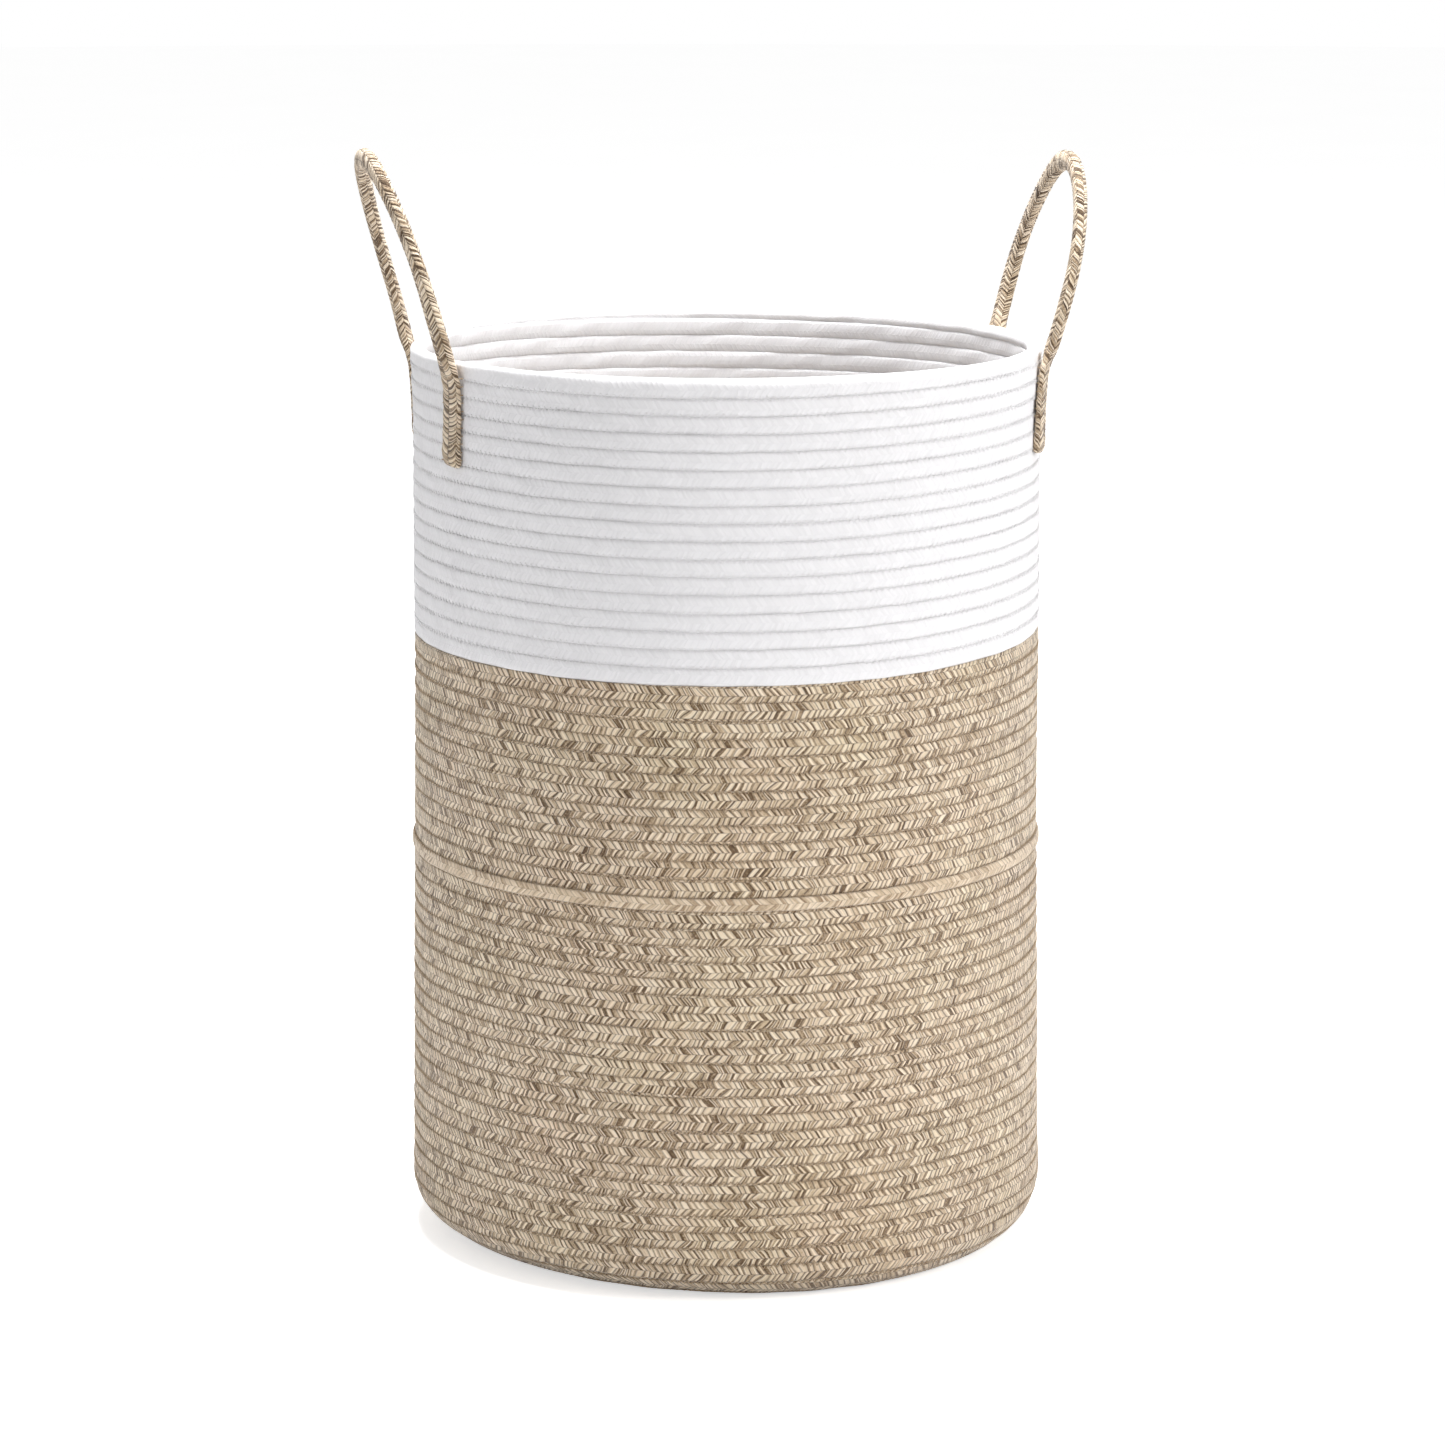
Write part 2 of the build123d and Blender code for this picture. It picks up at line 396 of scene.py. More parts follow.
# ---- sewing thread: one zigzag over each groove of the wall -----------------------------------
def zigzag(t0, t1, side, reach=1.3, pitch=3.9, radius=0.2):
    """Thread that crosses the groove above turn x, from t0 to t1 turns, as a thin four-sided tube."""
    s = np.arange(s_of_turn(t0), s_of_turn(t1), pitch / 2)
    phi = np.interp(s, S_T, PHI_T)
    x = turn_x(phi)
    g = groove_w(x + 1)
    ok = g < W_TOP - 2.0
    s, phi, x, g = s[ok], phi[ok], x[ok], g[ok]
    up = (np.arange(len(s)) % 2) * 2 - 1
    width = np.where(up > 0, groove_w(x + 2) - g, g - groove_w(x))
    w = g + up * reach
    eta = 1 - reach / (width / 2)
    dist = side * (N_HALF - groove_depth(eta, 0.42, 0.7) + 0.14) + 1.2 * crease_here(w) * (side > 0)
    jit = np.random.default_rng(3).normal(0, 1, (3, len(s)))
    w = w + 0.12 * jit[0]
    phi = phi + 0.15 * jit[1] / 190
    ring = [(radius, 0.0), (0.0, radius * 2.1), (-radius, 0.0), (0.0, -radius * 2.1)]
    co = np.stack([place(BACK + phi, w + dw, dist + dn) for dn, dw in ring], 1)
    return co.reshape(-1, 3), len(s)


def thread_object(name, spans, side, ring=4):
    pts, faces, base = [], [], 0
    for t0, t1, sd in spans:
        co, n = zigzag(t0, t1, sd)
        f = tube_faces(n, ring)
        ends = np.array([[0, 1, 2, 3], [(n - 1) * 4 + 3, (n - 1) * 4 + 2, (n - 1) * 4 + 1, (n - 1) * 4]])
        pts.append(co)
        faces.append(np.concatenate([f, ends]) + base)
        base += len(co)
    return make_object(name, np.concatenate(pts), np.concatenate(faces))


# ---- handle ropes -------------------------------------------------------------------------------
HANDLE_STRAND = 3.4
HANDLE_SLOPE = 1.1
HANDLES = {
    "left": dict(az=181.8, sign=1, y0=71.4, h=112.8, l1=0.254, l2=0.050, pe=0.74, qe=0.98, bul=-0.01, r=196.6, splay=(2.6, -1.6)),
    "right": dict(az=-1.8, sign=1, y0=70.9, h=105.6, l1=0.285, l2=-0.035, pe=0.88, qe=0.91, bul=0.08, r=196.6, splay=(2.4, 0.0)),
}
TAIL_BOTTOM = HEIGHT - box_mm("handle_left_tail_front")[0][2]


def handle_line(p):
    """Centreline of a whole handle rope in its own frame (outward, along, up), from one sewn end to the other, with its
    arc length."""
    t = np.linspace(-PI / 2, PI / 2, 4001)
    v = np.abs(np.cos(t)) ** p["qe"]
    u = np.sign(np.sin(t)) * np.abs(np.sin(t)) ** p["pe"]
    y = p["y0"] * u * (1 + p["bul"] * 4 * v * (1 - v))
    z = HEIGHT + p["h"] * v
    x0 = math.sqrt(p["r"] ** 2 - p["y0"] ** 2)
    rise = p["h"] * v
    x = x0 + p["l1"] * rise + p["l2"] * rise**2 / p["h"]
    loop = np.stack([x, y, z], 1)
    ang = math.atan2(p["y0"], x0)
    # the sewn end: down the outside of the wall, from just under the rim, with its tip turned in
    d = np.linspace(0, TAIL_BOTTOM - 1.0, 240)[1:]
    wall_r = wall_radius_out(HEIGHT - d)
    lie = np.interp(d, [0, 4, 9, 16, TAIL_BOTTOM - 10, TAIL_BOTTOM], [p["r"] - wall_r[0], 5.4, 3.9, 2.7, 2.5, 1.5])
    lie = np.convolve(np.pad(lie, 8, "edge"), np.ones(17) / 17, "valid")
    rr = wall_r + lie
    # the ends aren't sewn on quite upright
    al = -ang - np.radians(p["splay"][0]) * np.clip(d / TAIL_BOTTOM, 0, 1)
    ar = ang + np.radians(p["splay"][1]) * np.clip(d / TAIL_BOTTOM, 0, 1)
    left = np.stack([rr * np.cos(al), rr * np.sin(al), HEIGHT - d], 1)
    right = np.stack([rr * np.cos(ar), rr * np.sin(ar), HEIGHT - d], 1)
    line = np.concatenate([left[::-1], loop, right])
    # even spacing
    s = np.r_[0, np.cumsum(np.linalg.norm(np.diff(line, axis=0), axis=1))]
    keep = np.r_[True, np.diff(s) > 1e-6]
    line, s = line[keep], s[keep]
    return line, s


def smooth(a, k):
    w = np.hanning(k + 2)[1:-1]
    w /= w.sum()
    pad = k // 2
    return np.stack([np.convolve(np.pad(a[:, c], pad, "edge"), w, "valid") for c in range(a.shape[1])], 1)


def handle_rope(which, step=0.65, m=42):
    p = HANDLES[which]
    line, s = handle_line(p)
    total = s[-1]
    n = int(total / step) + 1
    si = np.arange(n) * step
    c = np.stack([np.interp(si, s, line[:, k]) for k in range(3)], 1)
    c = smooth(c, 17)
    wob = np.stack([0.35 * np.sin(si / 19.0 + 1), 0.5 * np.sin(si / 27.0), 0 * si], 1)
    free = np.clip((c[:, 2] - HEIGHT - 6) / 25, 0, 1)[:, None]
    c = c + wob * free
    tan = np.gradient(c, axis=0)
    tan /= np.linalg.norm(tan, axis=1)[:, None]
    az = np.arctan2(c[:, 1], c[:, 0])
    out = np.stack([np.cos(az), np.sin(az), 0 * az], 1)
    k = np.clip((c[:, 2] - HEIGHT) / 60, 0, 1)[:, None]
    out = out * (1 - k) + np.array([1.0, 0, 0.0]) * k
    out -= (out * tan).sum(1)[:, None] * tan
    out /= np.linalg.norm(out, axis=1)[:, None]
    wid = np.cross(tan, out)
    tw = np.radians(9) * free[:, 0] * np.sin(si / 33.0)
    out, wid = (
        out * np.cos(tw)[:, None] + wid * np.sin(tw)[:, None],
        wid * np.cos(tw)[:, None] - out * np.sin(tw)[:, None],
    )
    depth = HEIGHT - c[:, 2]
    tail = np.clip((depth + 2) / 12, 0, 1)
    tail = tail * tail * (3 - 2 * tail)
    crown = np.clip((c[:, 2] - (HEIGHT + 60)) / 50, 0, 1)
    # a sewn end is pressed flat, and bulges a little where it lies over each turn of the wall
    bump = 0.35 * np.sin(2 * PI * depth / 10.4 + 0.8)
    half_w = 6.1 + (2.3 + bump) * tail - 0.3 * crown + 0.2 * np.sin(si / 11.0)
    half_t = 3.9 - 1.6 * tail + 0.5 * crown
    d_end = np.minimum(si, total - si)
    fold = np.clip(1 - d_end / 11.0, 0, 1)
    half_t = half_t + 0.5 * np.sin(PI * np.clip(d_end / 14.0, 0, 1))       # the end is folded under itself
    tip = np.sqrt(np.clip(1 - (1 - np.clip(d_end / 4.5, 0, 1)) ** 2, 0.0025, 1))
    half_w, half_t = half_w * (0.45 + 0.55 * tip) * (1 - 0.06 * fold), half_t * tip
    psi = np.linspace(0, 2 * PI, m, endpoint=False)[None, :]
    e = (2.3 + 1.3 * tail)[:, None]
    cs = np.sign(np.cos(psi)) * np.abs(np.cos(psi)) ** (2 / e)
    sn = np.sign(np.sin(psi)) * np.abs(np.sin(psi)) ** (2 / e)
    px = half_t[:, None] * cs
    py = half_w[:, None] * sn
    # rows of strands: six round the rope; the last column closes the tube
    rows = np.broadcast_to((psi / (2 * PI)) * 6, (n, m))
    along = si[:, None] / HANDLE_STRAND + uneven(si[:, None] * 1.1, np.cos(psi))
    lump = (0.62 - 0.2 * tail[:, None]) * (strand_form(along, rows, HANDLE_SLOPE) - 0.65) * tip[:, None]
    px = px + lump * np.cos(psi)
    py = py + lump * np.sin(psi)
    pts = c[:, None] + out[:, None] * px[..., None] + wid[:, None] * py[..., None]
    # the folded end leans a little to one side
    side = np.where(si < total / 2, 1.0, -1.0) * (1 if which == "left" else -1)
    pts = pts + wid[:, None] * (side * 1.3 * fold**1.5)[:, None, None]
    # the wall is behind a sewn end: press the rope's back flat on it
    on_tail = pts[..., 2] < HEIGHT + 1
    rr = np.hypot(pts[..., 0], pts[..., 1])
    rim_round = np.clip((pts[..., 2] - (HEIGHT - WALL / 2)) / (WALL / 2), 0, 1)
    least = wall_radius_out(pts[..., 2]) - 0.5 - (1 - np.sqrt(1 - rim_round**2)) * WALL / 2
    push = np.where(on_tail & (rr < least), least / np.maximum(rr, 1), 1.0)
    pts[..., 0] *= push
    pts[..., 1] *= push
    a = math.radians(p["az"])
    rot = np.array([[math.cos(a), -math.sin(a), 0], [math.sin(a), math.cos(a), 0], [0, 0, 1]])
    pts = pts @ rot.T
    attrs = {"along": along, "round": rows, "edge": np.zeros((n, m))}
    return pts, attrs, c


# ---- materials ----------------------------------------------------------------------------------
def srgb(r, g, b):
    return tuple(((v / 255) / 12.92 if v / 255 <= 0.04045 else ((v / 255 + 0.055) / 1.055) ** 2.4) for v in (r, g, b)) + (1.0,)


class Tree:
    def __init__(self, name):
        self.mat = bpy.data.materials.new(name)
        self.mat.use_nodes = True
        self.t = self.mat.node_tree
        self.t.nodes.clear()
        self.out = self.t.nodes.new("ShaderNodeOutputMaterial")
        self.bsdf = self.t.nodes.new("ShaderNodeBsdfPrincipled")
        self.link(self.bsdf.outputs[0], self.out.inputs[0])

    def link(self, a, b):
        self.t.links.new(a, b)

    def put(self, value, socket):
        if isinstance(value, bpy.types.NodeSocket):
            self.link(value, socket)
        else:
            socket.default_value = value

    def attr(self, name):
        n = self.t.nodes.new("ShaderNodeAttribute")
        n.attribute_type = "GEOMETRY"
        n.attribute_name = name
        return n.outputs["Fac"]

    def math(self, op, a, b=0.0, c=0.0, clamp=False):
        n = self.t.nodes.new("ShaderNodeMath")
        n.operation = op
        n.use_clamp = clamp
        self.put(a, n.inputs[0])
        self.put(b, n.inputs[1])
        self.put(c, n.inputs[2])
        return n.outputs[0]

    def combine(self, x, y=0.0, z=0.0):
        n = self.t.nodes.new("ShaderNodeCombineXYZ")
        for v, s in zip((x, y, z), n.inputs):
            self.put(v, s)
        return n.outputs[0]

    def white(self, vec):
        n = self.t.nodes.new("ShaderNodeTexWhiteNoise")
        n.noise_dimensions = "3D"
        self.link(vec, n.inputs["Vector"])
        return n.outputs["Value"], n.outputs["Color"]

    def noise(self, scale, detail=2.0, vec=None, rough=0.5):
        n = self.t.nodes.new("ShaderNodeTexNoise")
        n.inputs["Scale"].default_value = scale
        n.inputs["Detail"].default_value = detail
        n.inputs["Roughness"].default_value = rough
        self.link(vec if vec is not None else self.obj(), n.inputs["Vector"])
        return n.outputs["Fac"], n.outputs["Color"]

    def obj(self):
        if not hasattr(self, "_obj"):
            self._obj = self.t.nodes.new("ShaderNodeTexCoord").outputs["Object"]
        return self._obj

    def ramp(self, fac, stops, mode="LINEAR"):
        n = self.t.nodes.new("ShaderNodeValToRGB")
        n.color_ramp.interpolation = mode
        e = n.color_ramp.elements
        while len(e) < len(stops):
            e.new(0.5)
        for el, (p, c) in zip(e, stops):
            el.position = p
            el.color = c if len(c) == 4 else (*c, 1)
        self.link(fac, n.inputs[0])
        return n.outputs[0]

    def mix(self, fac, a, b, mode="MIX"):
        n = self.t.nodes.new("ShaderNodeMix")
        n.data_type = "RGBA"
        n.blend_type = mode
        self.put(fac, n.inputs[0])
        self.put(a, n.inputs[6])
        self.put(b, n.inputs[7])
        return n.outputs[2]

    def bump(self, height, distance, strength=1.0, normal=None):
        n = self.t.nodes.new("ShaderNodeBump")
        n.inputs["Strength"].default_value = strength
        n.inputs["Distance"].default_value = distance
        self.link(height, n.inputs["Height"])
        if normal is not None:
            self.link(normal, n.inputs["Normal"])
        return n.outputs[0]


def rope_material(name, stops, yarns, strand_mm, valley_shade, groove, groove_shade_dots, painted_shade_colour, sheen=0.2, mottle=None, fleck_amount=0.4,
                  slope=LEAN / STRAND, wide=1.25):
    """Braided cotton. Rows of leaning strands, each strand a bundle of yarns with colours of their own; the shade in
    the dips between strands and between yarns, and along the sewn grooves, is painted into the colour.
    """
    m = Tree(name)
    along, rnd, edge = m.attr("along"), m.attr("round"), m.attr("edge")
    row = m.math("FLOOR", rnd)
    fv = m.math("FRACT", rnd)
    tri = m.math("PINGPONG", rnd, 1.0)
    odd = m.math("FLOORED_MODULO", row, 2.0)
    phase = m.math("ADD", m.math("MULTIPLY_ADD", tri, slope, along), m.math("MULTIPLY", odd, 0.5))
    cell = m.math("FLOOR", phase)
    fr = m.math("FRACT", phase)
    # colour, yarn by yarn
    rnd_strand, _ = m.white(m.combine(cell, row, 0.5))
    split = m.math("MULTIPLY", fr, m.math("MULTIPLY_ADD", rnd_strand, 0.9, yarns - 0.45))
    sub = m.math("FLOOR", split)
    rnd_yarn, _ = m.white(m.combine(cell, row, m.math("ADD", sub, 3.5)))
    fac = m.math("MULTIPLY_ADD", rnd_strand, 0.12, m.math("MULTIPLY", rnd_yarn, 0.88))
    fleck, _ = m.noise(750.0, 2.0)
    fac = m.math("MULTIPLY_ADD", m.math("SUBTRACT", fleck, 0.5), fleck_amount, fac, clamp=True)
    col = m.ramp(fac, stops)
    if mottle:
        for k, tint in enumerate(mottle[:2]):
            mp = m.t.nodes.new("ShaderNodeMapping")
            mp.inputs["Location"].default_value = (3.1 * k, 1.7 * k, 5.3 * k)
            m.link(m.obj(), mp.inputs["Vector"])
            a, _ = m.noise(15.0, 2.0, mp.outputs[0])
            f = m.math("MULTIPLY", m.math("SUBTRACT", a, 0.45, clamp=True), mottle[2])
            col = m.mix(f, col, tint, "MULTIPLY")
    # form of a strand: round across, and round at its ends where it dives under the next row
    q = m.math("SUBTRACT", m.math("MULTIPLY", fr, 2.0), 1.0)
    across = m.math("SUBTRACT", 1.0, m.math("MULTIPLY", q, q))
    e = m.math("SUBTRACT", m.math("MULTIPLY", fv, 2.0), 1.0)
    ends = m.math("SUBTRACT", 1.0, m.math("MULTIPLY", m.math("POWER", m.math("ABSOLUTE", e), 8.0), 0.7))
    form = m.math("SQRT", m.math("MAXIMUM", m.math("MULTIPLY", across, ends), 0.0))
    # painted shade: deep places get a darker colour, here between strands and between yarns, with a random strength for
    # each strand, and beside the sewn grooves below
    deep = m.math("SUBTRACT", 1.0, m.math("MULTIPLY", form, wide, clamp=True), clamp=True)
    rnd_shade, _ = m.white(m.combine(cell, row, 9.5))
    weight = m.math("MULTIPLY_ADD", m.math("MULTIPLY", rnd_shade, rnd_shade), valley_shade * 0.9, valley_shade * 0.75)
    yf = m.math("SUBTRACT", m.math("MULTIPLY", m.math("FRACT", split), 2.0), 1.0)
    yh = m.math("SUBTRACT", 1.0, m.math("MULTIPLY", yf, yf))
    yarn_gap_shade = m.math("SUBTRACT", 1.0, m.math("MULTIPLY", yh, 2.2, clamp=True), clamp=True)
    deep = m.math("MAXIMUM", m.math("MULTIPLY", deep, weight), m.math("MULTIPLY", yarn_gap_shade, m.math("MULTIPLY", rnd_shade, valley_shade * 0.55)), clamp=True)
    col = m.mix(deep, col, painted_shade_colour)
    # painted shade beside the sewn grooves, at both edges of each turn, with darker painted dots at the thread's pitch
    # where the stitches pull the groove in
    g = m.math("POWER", edge, 8.0)
    dot_shade_pattern = m.math("PINGPONG", m.math("MULTIPLY", along, STRAND / 3.9), 0.5)
    g2 = m.math("MULTIPLY", g, m.math("MULTIPLY_ADD", dot_shade_pattern, 2.0 * groove_shade_dots, groove), clamp=True)
    col = m.mix(g2, col, painted_shade_colour)
    m.link(col, m.bsdf.inputs["Base Color"])
    m.bsdf.inputs["Roughness"].default_value = 0.88
    m.bsdf.inputs["Specular IOR Level"].default_value = 0.22
    m.bsdf.inputs["Sheen Weight"].default_value = sheen
    m.bsdf.inputs["Sheen Roughness"].default_value = 0.6
    fib, _ = m.noise(2400.0, 2.0, rough=0.6)
    h = m.math("MULTIPLY", form, strand_mm)
    h = m.math("MULTIPLY_ADD", yh, strand_mm * 0.2, h)
    h = m.math("MULTIPLY_ADD", fib, 0.09, h)
    m.link(m.bump(h, MM, 1.0), m.bsdf.inputs["Normal"])
    return m.mat


MELANGE = [
    (0.00, srgb(96, 74, 51)),
    (0.10, srgb(124, 100, 73)),
    (0.22, srgb(186, 163, 134)),
    (0.48, srgb(222, 202, 175)),
    (1.00, srgb(246, 230, 208)),
]
HANDLE_MELANGE = [
    (0.00, srgb(78, 60, 41)),
    (0.18, srgb(106, 84, 60)),
    (0.31, srgb(174, 151, 123)),
    (0.55, srgb(220, 201, 175)),
    (1.00, srgb(246, 230, 209)),
]
# paler melange for the proud crease coil: partly a paler, smoother fold of rope, partly painted highlight where the
# proud coil catches the light
CREASE_MELANGE_AND_HIGHLIGHT = [
    (0.00, srgb(150, 124, 96)),
    (0.30, srgb(204, 182, 153)),
    (1.00, srgb(234, 216, 192)),
]
WHITE = [
    (0.00, srgb(232, 231, 233)),
    (0.50, srgb(236, 235, 237)),
    (1.00, srgb(239, 238, 240)),
]
# colours of the painted shade, mixed into the rope colours in the dips between strands and along the grooves
PAINTED_SHADE_TAN = srgb(84, 62, 42)
PAINTED_SHADE_WHITE = srgb(176, 176, 178)
# after the yarn count and bump height come the strengths of the painted shade: between strands, in the grooves, and at
# the groove dots
MAT_TAN = rope_material("melange_rope", MELANGE, 3.0, 0.38, 1.15, 0.0, 0.4, PAINTED_SHADE_TAN, sheen=0.35,
                        mottle=((1.0, 0.91, 0.87, 1), (0.94, 0.96, 0.84, 1), 1.2), wide=1.08)
# the crease coil's edges get painted shade, for the dark line of shade under the proud coil
MAT_CREASE = rope_material("melange_crease_painted_highlight", CREASE_MELANGE_AND_HIGHLIGHT, 2.0, 0.3, 0.6, 0.35, 0.3, PAINTED_SHADE_TAN, sheen=0.35)
MAT_HANDLE = rope_material("handle_rope", HANDLE_MELANGE, 3.0, 0.3, 1.5, 0.0, 0.0, PAINTED_SHADE_TAN, sheen=0.3,
                           mottle=((1.0, 0.93, 0.89, 1), (0.94, 0.95, 0.84, 1), 1.2), slope=HANDLE_SLOPE)
MAT_WHITE = rope_material("white_rope", WHITE, 2.0, 0.14, 0.05, 0.04, 0.08, PAINTED_SHADE_WHITE, sheen=0.1, fleck_amount=0.1)


def thread_material(name, a, b):
    m = Tree(name)
    f, _ = m.noise(700.0, 2.0)
    col = m.ramp(f, [(0.3, a), (0.7, b)])
    m.link(col, m.bsdf.inputs["Base Color"])
    m.bsdf.inputs["Roughness"].default_value = 0.6
    m.bsdf.inputs["Sheen Weight"].default_value = 0.1
    fib, _ = m.noise(3000.0, 2.0)
    m.link(m.bump(fib, 0.05 * MM), m.bsdf.inputs["Normal"])
    return m.mat


MAT_THREAD_TAN = thread_material("thread_tan", srgb(150, 126, 98), srgb(196, 172, 140))
MAT_THREAD_WHITE = thread_material("thread_white", srgb(226, 225, 226), srgb(238, 237, 238))


def finish_piece(ob, mat, body, slot, *nodes):
    ob.data.materials.append(mat)
    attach(ob, body)
    if nodes:
        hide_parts(*nodes)
    return ob


# ---- build the basket -----------------------------------------------------------------------------
def wall_bands(node, t0, t1, per_band, mat, slot, step, deep, start, relief):
    edges = list(np.arange(t0, t1, per_band)) + [t1]
    if len(edges) > 2 and edges[-1] - edges[-2] < 0.5:
        edges.pop(-2)
    for k, (a, b) in enumerate(zip(edges[:-1], edges[1:])):
        ob = rope_run(
            f"{node}_{k + 1}", a, b, step, deep, start, relief,
            taper_start=(node == "base_coil" and k == 0), taper_end=(b > T_END),
        )
        finish_piece(ob, mat, "basket", slot, *([node] if k == 0 else []))


TAN = (MAT_TAN, "melange_rope", 1.0, 0.42, 0.7, 0.34)
PALE = (MAT_WHITE, "white_rope", 1.6, 0.75, 0.5, 0.12)
wall_bands("base_coil", 0.06, T_HEEL, 8, MAT_TAN, "melange_rope", 1.4, 0.42, 0.7, 0.3)
wall_bands("heel_coils", T_HEEL, T_LOW, 4, *TAN)
wall_bands("lower_wall_coils", T_LOW, T_CREASE, 4, *TAN)
wall_bands("crease_coil", T_CREASE, T_MID, 4, MAT_CREASE, "melange_rope", 1.0, 1.1, 0.3, 0.2)
wall_bands("middle_wall_coils", T_MID, T_UP, 4, *TAN)
wall_bands("upper_wall_coils", T_UP, T_RIM, 6, *PALE)
wall_bands("rim_coil", T_RIM, T_END + 0.2, 4, *PALE)

finish_piece(
    thread_object("lower_wall_stitching_zigzag", [(T_HEEL + 2, T_UP - 1, 1)], 1),
    MAT_THREAD_TAN, "basket", "sewing_thread", "lower_wall_stitching",
)
finish_piece(
    thread_object("upper_wall_stitching_zigzag", [(T_UP, T_END - 1.3, 1)], 1),
    MAT_THREAD_WHITE, "basket", "white_thread", "upper_wall_stitching",
)
finish_piece(
    thread_object("base_stitching_zigzag", [(2.0, T_HEEL + 2, -1), (2.0, T_HEEL + 2, 1)], 1),
    MAT_THREAD_TAN, "basket", "sewing_thread", "base_stitching",
)


def handle(which):
    pts, attrs, centre = handle_rope(which)
    n, m = pts.shape[:2]
    # cut where the rope leaves its stitching
    high = np.where(centre[:, 2] > HEIGHT - 5)[0]
    c0, c1 = high[0], high[-1]
    parts = {
        f"handle_{which}_end_a": (0, c0),
        f"handle_{which}_rope": (c0, c1),
        f"handle_{which}_end_b": (c1, n - 1),
    }
    for name, (a, b) in parts.items():
        at = {k: np.asarray(v)[a : b + 1] for k, v in attrs.items()}
        co, faces, att = capped(pts[a : b + 1].reshape(-1, 3), at, b - a + 1, m)
        corner = {"round": to_corners(att.pop("round"), faces, b - a + 1, m, 6)}
        ob = make_object(name, co, faces, att, corner=corner)
        ob.data.materials.append(MAT_HANDLE)
        if name.endswith("_rope"):
            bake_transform(ob)
            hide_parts(f"handle_{which}_loop")
        else:
            # the first end is on the -tangent side of the handle's frame
            y_mean = float(np.mean([v.co.y for v in ob.data.vertices]))
            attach(ob, "basket")
            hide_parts(f"handle_{which}_tail_{'front' if y_mean < 0 else 'rear'}")


handle("left")
handle("right")


# ---- stitches that hold the handle ends ------------------------------------------------------------
def end_stitches(which):
    p = HANDLES[which]
    x0 = math.sqrt(p["r"] ** 2 - p["y0"] ** 2)
    ang = math.atan2(p["y0"], x0)
    rg = np.random.default_rng(21 if which == "left" else 22)
    pts, faces, base = [], [], 0
    ring_n = 6
    for side in (-1, 1):
        th0 = math.radians(p["az"]) + side * ang
        for column in (-1, 1):
            for k in range(11):
                z = HEIGHT - 9.5 - k * (TAIL_BOTTOM - 15.0) / 10 + rg.normal(0, 0.25)
                u0 = column * (6.0 + rg.normal(0, 0.2))
                du = 2.2 * column
                # from the rope's face, over its edge, down to the wall
                prof = np.array([[0.0, 4.6], [0.35, 4.8], [0.75, 4.2], [1.05, 2.4], [1.2, 0.5]])
                th = th0 + side * math.radians(p["splay"][0 if side < 0 else 1]) * (HEIGHT - z) / TAIL_BOTTOM
                path = []
                for f, lift in prof:
                    u = u0 + du * f
                    r = wall_radius_out(z) + lift
                    a = th + u / r
                    path.append([r * math.cos(a), r * math.sin(a), z + 0.5 * f * column])
                path = np.array(path)
                t = np.gradient(path, axis=0)
                t /= np.linalg.norm(t, axis=1)[:, None]
                up = np.array([0, 0, 1.0])
                b1 = np.cross(t, up)
                b1 /= np.linalg.norm(b1, axis=1)[:, None]
                b2 = np.cross(t, b1)
                q = np.linspace(0, 2 * PI, ring_n, endpoint=False)
                co = path[:, None] + 0.3 * (np.cos(q)[None, :, None] * b1[:, None] + np.sin(q)[None, :, None] * b2[:, None])
                n = len(path)
                c, f, _ = capped(co.reshape(-1, 3), {"z": np.zeros(n * ring_n)}, n, ring_n)
                pts.append(c)
                faces.append(f + base)
                base += len(c)
    ob = make_object(f"handle_{which}_stitches", np.concatenate(pts), np.concatenate(faces))
    finish_piece(ob, MAT_THREAD_TAN, "basket", "sewing_thread", f"handle_{which}_stitching")


end_stitches("left")
end_stitches("right")

# ---- floor, light, camera ---------------------------------------------------------------------------
def disc(name, radius, z=0.0, n=96):
    a = np.linspace(0, 2 * PI, n, endpoint=False)
    rings = [0.0, 0.25, 1.0]
    me = bpy.data.meshes.new(name)
    verts = [(0, 0, z)] + [(radius * math.cos(t), radius * math.sin(t), z) for t in a]
    me.from_pydata(verts, [], [(0, 1 + i, 1 + (i + 1) % n) for i in range(n)])
    ob = bpy.data.objects.new(name, me)
    bpy.context.scene.collection.objects.link(ob)
    return ob


floor = disc("floor", 14.0, z=-0.0006)
fm = Tree("floor")
ff, _ = fm.noise(3.0, 2.0)
fm.link(fm.ramp(ff, [(0.3, (0.88, 0.88, 0.88, 1)), (0.7, (0.895, 0.895, 0.895, 1))]), fm.bsdf.inputs["Base Color"])
fm.bsdf.inputs["Roughness"].default_value = 0.9
fm.bsdf.inputs["Specular IOR Level"].default_value = 0.05
# the floor is lit to white for the camera only
lp = fm.t.nodes.new("ShaderNodeLightPath")
fm.link(fm.math("MULTIPLY", lp.outputs["Is Camera Ray"], 0.60), fm.bsdf.inputs["Emission Strength"])
fm.bsdf.inputs["Emission Color"].default_value = (1, 1, 1, 1)
floor.data.materials.append(fm.mat)

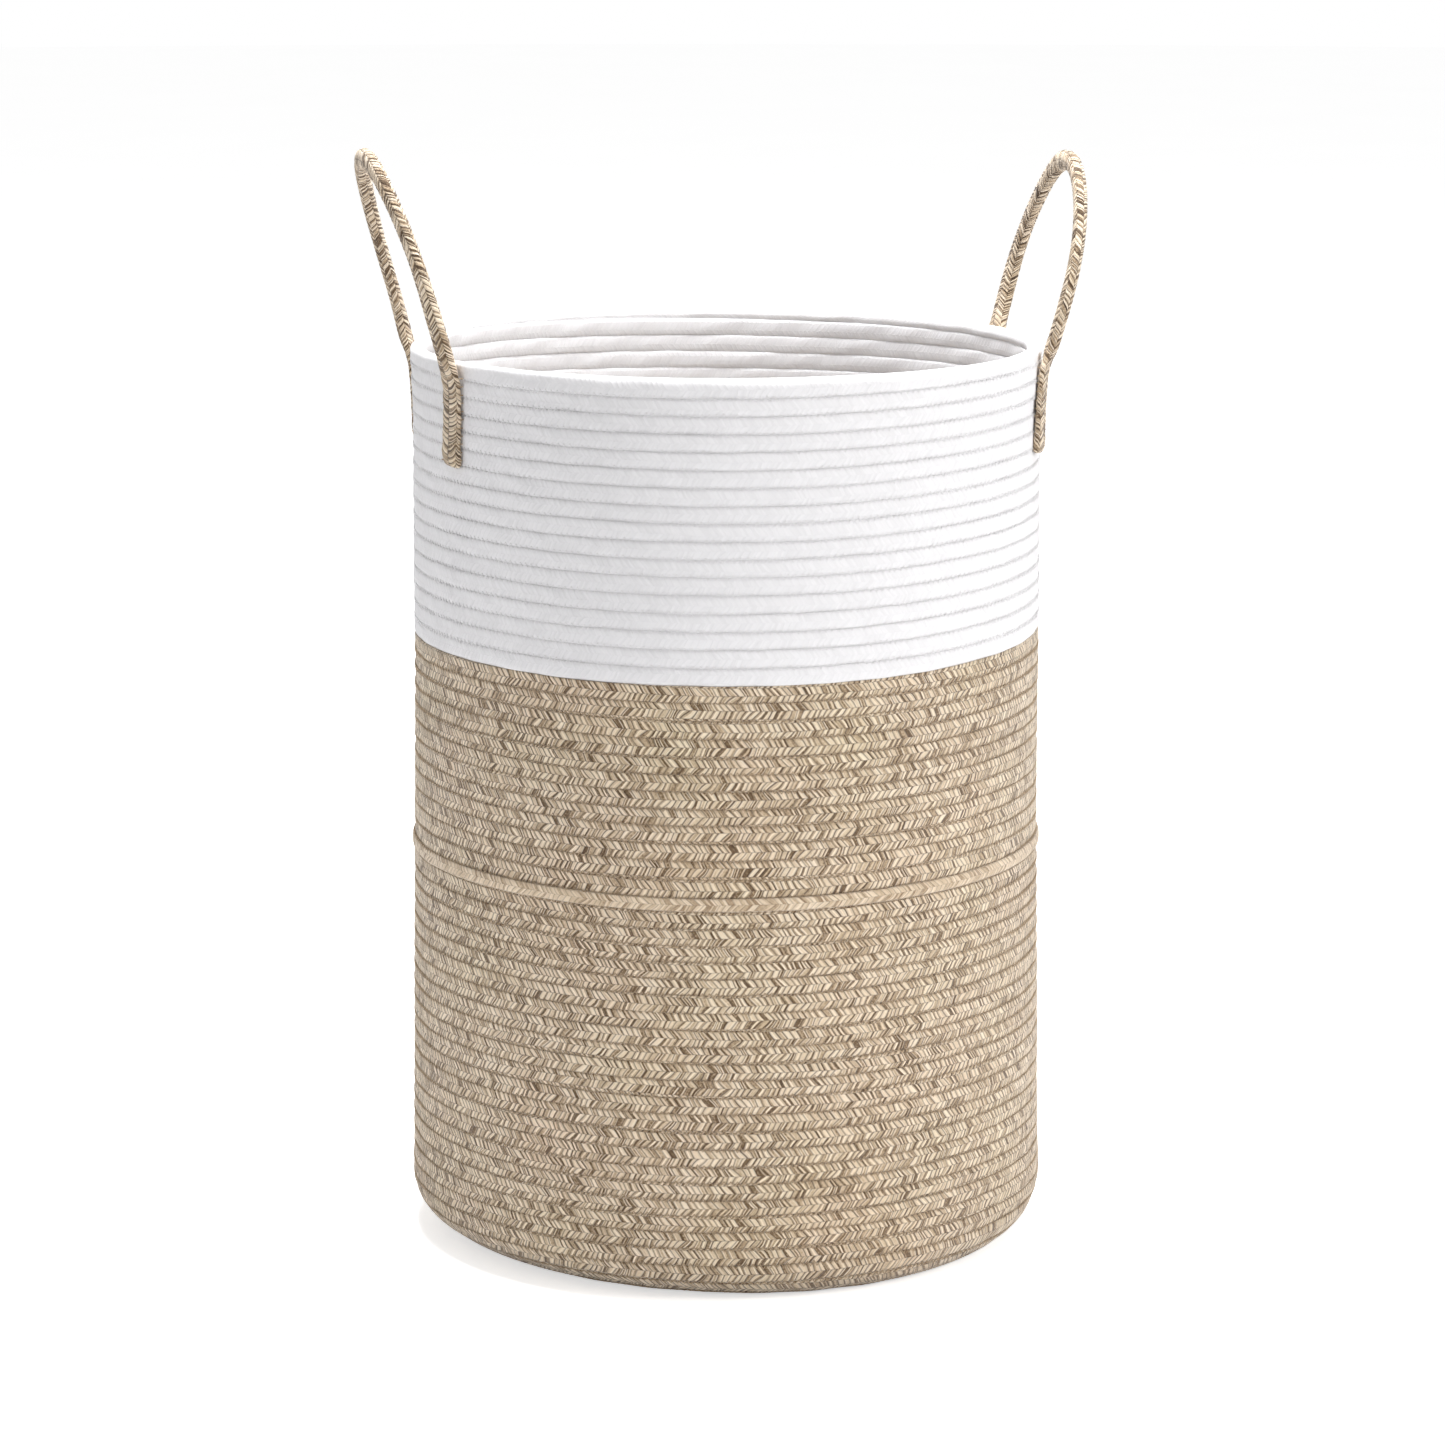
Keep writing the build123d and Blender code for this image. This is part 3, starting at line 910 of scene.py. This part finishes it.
WORLD = 0.43
world = bpy.data.worlds.new("studio")
bpy.context.scene.world = world
world.use_nodes = True
wt = world.node_tree
bg = wt.nodes["Background"]
bg.inputs[0].default_value = (1.0, 1.0, 1.0, 1)
wl = wt.nodes.new("ShaderNodeLightPath")
wm = wt.nodes.new("ShaderNodeMath")
wm.operation = "MULTIPLY_ADD"
wt.links.new(wl.outputs["Is Camera Ray"], wm.inputs[0])
wm.inputs[1].default_value = 1.0 - WORLD
wm.inputs[2].default_value = WORLD
wt.links.new(wm.outputs[0], bg.inputs[1])


def area(name, location, target, size, power, color=(1, 1, 1)):
    d = bpy.data.lights.new(name, "AREA")
    d.shape = "DISK"
    d.size = size
    d.energy = power
    d.color = color
    ob = bpy.data.objects.new(name, d)
    bpy.context.scene.collection.objects.link(ob)
    from mathutils import Vector
    ob.location = location
    ob.visible_camera = False
    ob.rotation_mode = "QUATERNION"
    ob.rotation_quaternion = (Vector(target) - Vector(location)).to_track_quat("-Z", "Y")
    return ob


area("key", (2.5, -1.9, 2.0), (0, 0, 0.3), 1.5, 54.0, (1.0, 0.99, 0.975))
area("fill", (-2.8, -1.6, 1.4), (0, 0, 0.3), 2.2, 3.0, (0.98, 0.98, 1.0))
area("top", (0.0, 0.1, 3.2), (0, 0, 0.4), 1.2, 112.0)
area("over_the_mouth", (0.0, 0.0, 1.05), (0, 0, 0.4), 0.3, 1.3)

AZ, PITCH, DIST, CAM_Z, YAW = math.radians(-11.4), math.radians(10.934), 2.898, 0.8687, math.atan(4.1 / 4835)
cam_data = bpy.data.cameras.new("camera")
cam_data.sensor_width = 36.0
cam_data.lens = 4835 / 1445 * 36
cam_data.clip_start, cam_data.clip_end = 0.05, 60
cam = bpy.data.objects.new("camera", cam_data)
bpy.context.scene.collection.objects.link(cam)
cam.location = (DIST * math.sin(AZ), -DIST * math.cos(AZ), CAM_Z)
cam.rotation_mode = "XYZ"
cam.rotation_euler = (math.pi / 2 - PITCH, 0, AZ + YAW)
bpy.context.scene.camera = cam

bpy.context.scene.view_settings.view_transform = "Standard"
bpy.context.scene.view_settings.look = "None"
